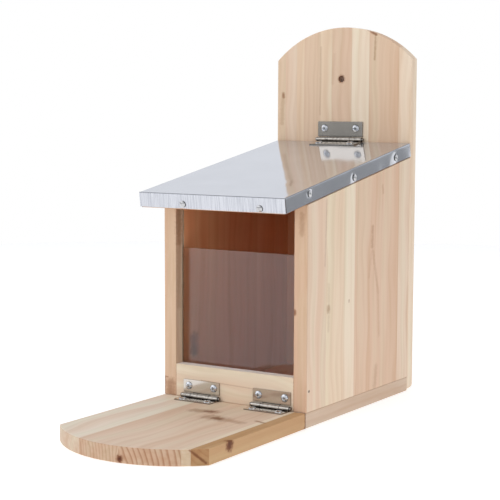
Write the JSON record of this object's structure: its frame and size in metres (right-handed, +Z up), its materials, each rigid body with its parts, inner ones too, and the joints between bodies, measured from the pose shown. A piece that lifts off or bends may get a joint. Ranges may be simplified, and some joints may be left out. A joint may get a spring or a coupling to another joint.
{
  "type": "hinged-lid wooden feeding house",
  "caption": "Open-fronted wooden feeding house with a metal-clad hinged lid, clear pane, hinged landing platform and arched back board with a hanging hole.",
  "frame": {"origin": "centre of the bounding box's footprint, at the underside of the base", "axes": "+Z up; +Y to the back board and the wall it hangs on; +X to the right seen from the front"},
  "size_m": [0.1218, 0.3113, 0.2832],
  "materials": {
    "pine": "bare sanded edge-glued softwood",
    "zinc_sheet": "bright galvanised sheet, thin and slightly wavy",
    "clear_acrylic": "clear polished sheet",
    "nickel_steel": "bright nickel plating",
    "steel_nail": "bright wire nail"
  },
  "bodies": {
    "house": {"back_board": "pine", "side_panel_left": "pine", "side_panel_right": "pine", "base_board": "pine", "front_rail": "pine", "rail_brads": "steel_nail", "base_nails": "steel_nail", "back_nails": "steel_nail", "roof_hinge_fixed_leaf": "nickel_steel", "roof_hinge_pin": "nickel_steel", "roof_hinge_fixed_screws": "nickel_steel", "left_hinge_fixed_leaf": "nickel_steel", "left_hinge_pin": "nickel_steel", "left_hinge_fixed_screws": "nickel_steel", "right_hinge_fixed_leaf": "nickel_steel", "right_hinge_pin": "nickel_steel", "right_hinge_fixed_screws": "nickel_steel"},
    "lid": {"roof_board": "pine", "roof_sheet": "zinc_sheet", "roof_sheet_nails": "steel_nail", "roof_hinge_moving_leaf": "nickel_steel", "roof_hinge_moving_screws": "nickel_steel"},
    "platform": {"platform_board": "pine", "left_hinge_moving_leaf": "nickel_steel", "left_hinge_moving_screws": "nickel_steel", "right_hinge_moving_leaf": "nickel_steel", "right_hinge_moving_screws": "nickel_steel"},
    "pane": {"window_pane": "clear_acrylic"}
  },
  "joints": [
    {"name": "lid_hinge", "type": "hinge", "parent": "house", "child": "lid", "pos_m": [-0.0015, 0.1444, 0.19549], "axis": [-1, 0, 0], "range_deg": [0, 88]},
    {"name": "platform_hinge", "type": "hinge", "parent": "house", "child": "platform", "pos_m": [0, -0.0126, 0.01275], "axis": [-1, 0, 0], "range_deg": [0, 70]},
    {"name": "pane_slide", "type": "slide", "parent": "house", "child": "pane", "axis": [0, 0, 1], "range_m": [0, 0.036]}
  ]
}
